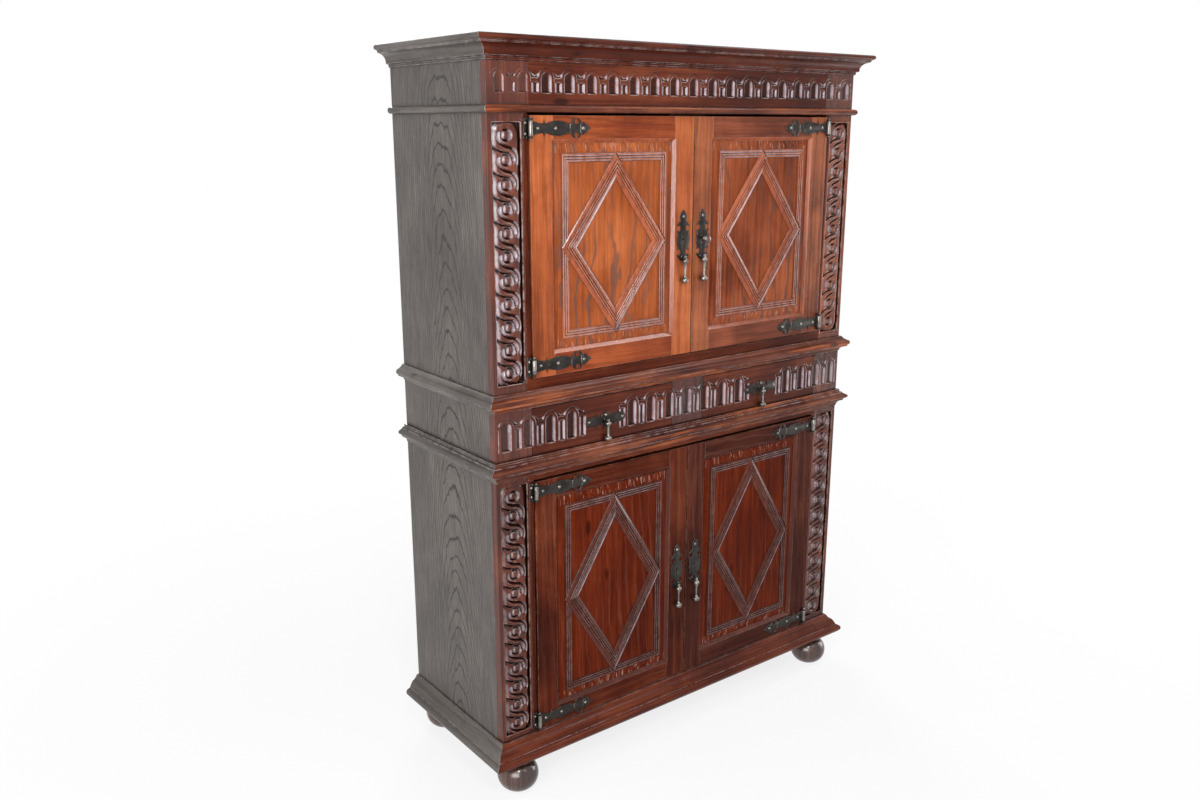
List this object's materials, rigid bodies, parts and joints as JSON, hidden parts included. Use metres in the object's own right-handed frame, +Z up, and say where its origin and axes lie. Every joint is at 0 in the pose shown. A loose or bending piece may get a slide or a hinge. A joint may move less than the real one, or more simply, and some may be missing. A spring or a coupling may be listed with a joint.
{
  "type": "trastero cabinet",
  "caption": "Tall colonial storage cabinet in stacked stages with panelled lozenge doors, carved waist drawers, iron strap hinges and round bun feet.",
  "frame": {"origin": "on the floor, under the middle of the overall box", "axes": "+X to the right as seen from the front, +Y to the back, +Z up; the doors face -Y"},
  "size_m": [1.304, 0.492, 1.868],
  "materials": {
    "side_boards": "aged wax, flat grey-brown",
    "front_frame": "aged wax polish",
    "carved_boards": "aged wax polish, dark in the carving",
    "door_frames": "aged wax polish",
    "door_panels": "aged wax polish",
    "applied_mouldings": "polished, pale along worn edges",
    "case_mouldings": "polished, pale along worn edges",
    "feet": "aged wax polish",
    "inner_boards": "bare and dusty",
    "iron": "hand-forged, dark, bright on worn edges"
  },
  "bodies": {
    "case": {"astragal": "case_mouldings", "base_moulding": "case_mouldings", "bun_feet": "feet", "cornice": "case_mouldings", "door_stops": "inner_boards", "drawer_deck": "inner_boards", "drawer_guides": "inner_boards", "foot_blocks": "inner_boards", "frieze_board": "carved_boards", "frieze_corner_blocks": "carved_boards", "front_rails": "front_frame", "hanging_strips": "front_frame", "hinge_leaves": "iron", "lower_back": "inner_boards", "lower_pilasters": "front_frame", "lower_shelves": "inner_boards", "lower_sides": "side_boards", "lower_waist_moulding": "case_mouldings", "shelf_cleats": "inner_boards", "top_board": "inner_boards", "upper_back": "inner_boards", "upper_pilasters": "front_frame", "upper_shelves": "inner_boards", "upper_sides": "side_boards", "upper_waist_moulding": "case_mouldings", "waist_blocks": "carved_boards", "waist_top": "inner_boards"},
    "lower_left_door": {"lower_left_door_frame": "door_frames", "lower_left_door_panel": "door_panels", "lower_left_panel_moulding": "applied_mouldings", "lower_left_door_ironwork": "iron"},
    "lower_left_drop": {"lower_left_door_pull": "iron"},
    "lower_right_door": {"lower_right_door_frame": "door_frames", "lower_right_door_panel": "door_panels", "lower_right_panel_moulding": "applied_mouldings", "lower_right_door_ironwork": "iron", "lower_lock": "iron"},
    "lower_right_drop": {"lower_right_door_pull": "iron"},
    "lower_bolt": {"lower_lock_bolt": "iron"},
    "upper_left_door": {"upper_left_door_frame": "door_frames", "upper_left_door_panel": "door_panels", "upper_left_panel_moulding": "applied_mouldings", "upper_left_door_ironwork": "iron"},
    "upper_left_drop": {"upper_left_door_pull": "iron"},
    "upper_right_door": {"upper_right_door_frame": "door_frames", "upper_right_door_panel": "door_panels", "upper_right_panel_moulding": "applied_mouldings", "upper_right_door_ironwork": "iron", "upper_lock": "iron"},
    "upper_right_drop": {"upper_right_door_pull": "iron"},
    "upper_bolt": {"upper_lock_bolt": "iron"},
    "door_key": {"key": "iron"},
    "left_drawer": {"left_drawer_front": "carved_boards", "left_drawer_box": "inner_boards", "left_drawer_ironwork": "iron"},
    "left_drawer_drop": {"left_drawer_pull": "iron"},
    "right_drawer": {"right_drawer_front": "carved_boards", "right_drawer_box": "inner_boards", "right_drawer_ironwork": "iron"},
    "right_drawer_drop": {"right_drawer_pull": "iron"}
  },
  "joints": [
    {"name": "lower_left_door_hinge", "type": "hinge", "parent": "case", "child": "lower_left_door", "pos_m": [-0.503, -0.2155, 0.492], "axis": [0, 0, -1], "range_deg": [0, 160]},
    {"name": "lower_left_drop_swing", "type": "hinge", "parent": "lower_left_door", "child": "lower_left_drop", "pos_m": [-0.0335, -0.221, 0.434], "axis": [-1, 0, 0], "range_deg": [0, 80]},
    {"name": "lower_right_door_hinge", "type": "hinge", "parent": "case", "child": "lower_right_door", "pos_m": [0.503, -0.2155, 0.492], "axis": [0, 0, 1], "range_deg": [0, 160]},
    {"name": "lower_right_drop_swing", "type": "hinge", "parent": "lower_right_door", "child": "lower_right_drop", "pos_m": [0.0335, -0.221, 0.434], "axis": [-1, 0, 0], "range_deg": [0, 80]},
    {"name": "lower_bolt_slide", "type": "slide", "parent": "lower_right_door", "child": "lower_bolt", "axis": [-1, 0, 0], "range_m": [0, 0.012]},
    {"name": "upper_left_door_hinge", "type": "hinge", "parent": "case", "child": "upper_left_door", "pos_m": [-0.503, -0.2155, 1.3955], "axis": [0, 0, -1], "range_deg": [0, 160]},
    {"name": "upper_left_drop_swing", "type": "hinge", "parent": "upper_left_door", "child": "upper_left_drop", "pos_m": [-0.0335, -0.221, 1.3485], "axis": [-1, 0, 0], "range_deg": [0, 80]},
    {"name": "upper_right_door_hinge", "type": "hinge", "parent": "case", "child": "upper_right_door", "pos_m": [0.503, -0.2155, 1.3955], "axis": [0, 0, 1], "range_deg": [0, 160]},
    {"name": "upper_right_drop_swing", "type": "hinge", "parent": "upper_right_door", "child": "upper_right_drop", "pos_m": [0.0335, -0.221, 1.3485], "axis": [-1, 0, 0], "range_deg": [0, 80]},
    {"name": "upper_bolt_slide", "type": "slide", "parent": "upper_right_door", "child": "upper_bolt", "axis": [-1, 0, 0], "range_m": [0, 0.012]},
    {"name": "key_turn", "type": "hinge", "parent": "upper_right_door", "child": "door_key", "pos_m": [0.0335, -0.2, 1.3925], "axis": [0, 1, 0], "range_deg": [0, 360]},
    {"name": "left_drawer_slide", "type": "slide", "parent": "case", "child": "left_drawer", "axis": [0, -1, 0], "range_m": [0, 0.3]},
    {"name": "left_drawer_drop_swing", "type": "hinge", "parent": "left_drawer", "child": "left_drawer_drop", "pos_m": [-0.28, -0.215, 0.953], "axis": [-1, 0, 0], "range_deg": [0, 80]},
    {"name": "right_drawer_slide", "type": "slide", "parent": "case", "child": "right_drawer", "axis": [0, -1, 0], "range_m": [0, 0.3]},
    {"name": "right_drawer_drop_swing", "type": "hinge", "parent": "right_drawer", "child": "right_drawer_drop", "pos_m": [0.28, -0.215, 0.953], "axis": [-1, 0, 0], "range_deg": [0, 80]}
  ],
  "couplings": [
    {"joint": "upper_bolt_slide", "follows": "key_turn", "m_per_rad": 0.0019098}
  ]
}
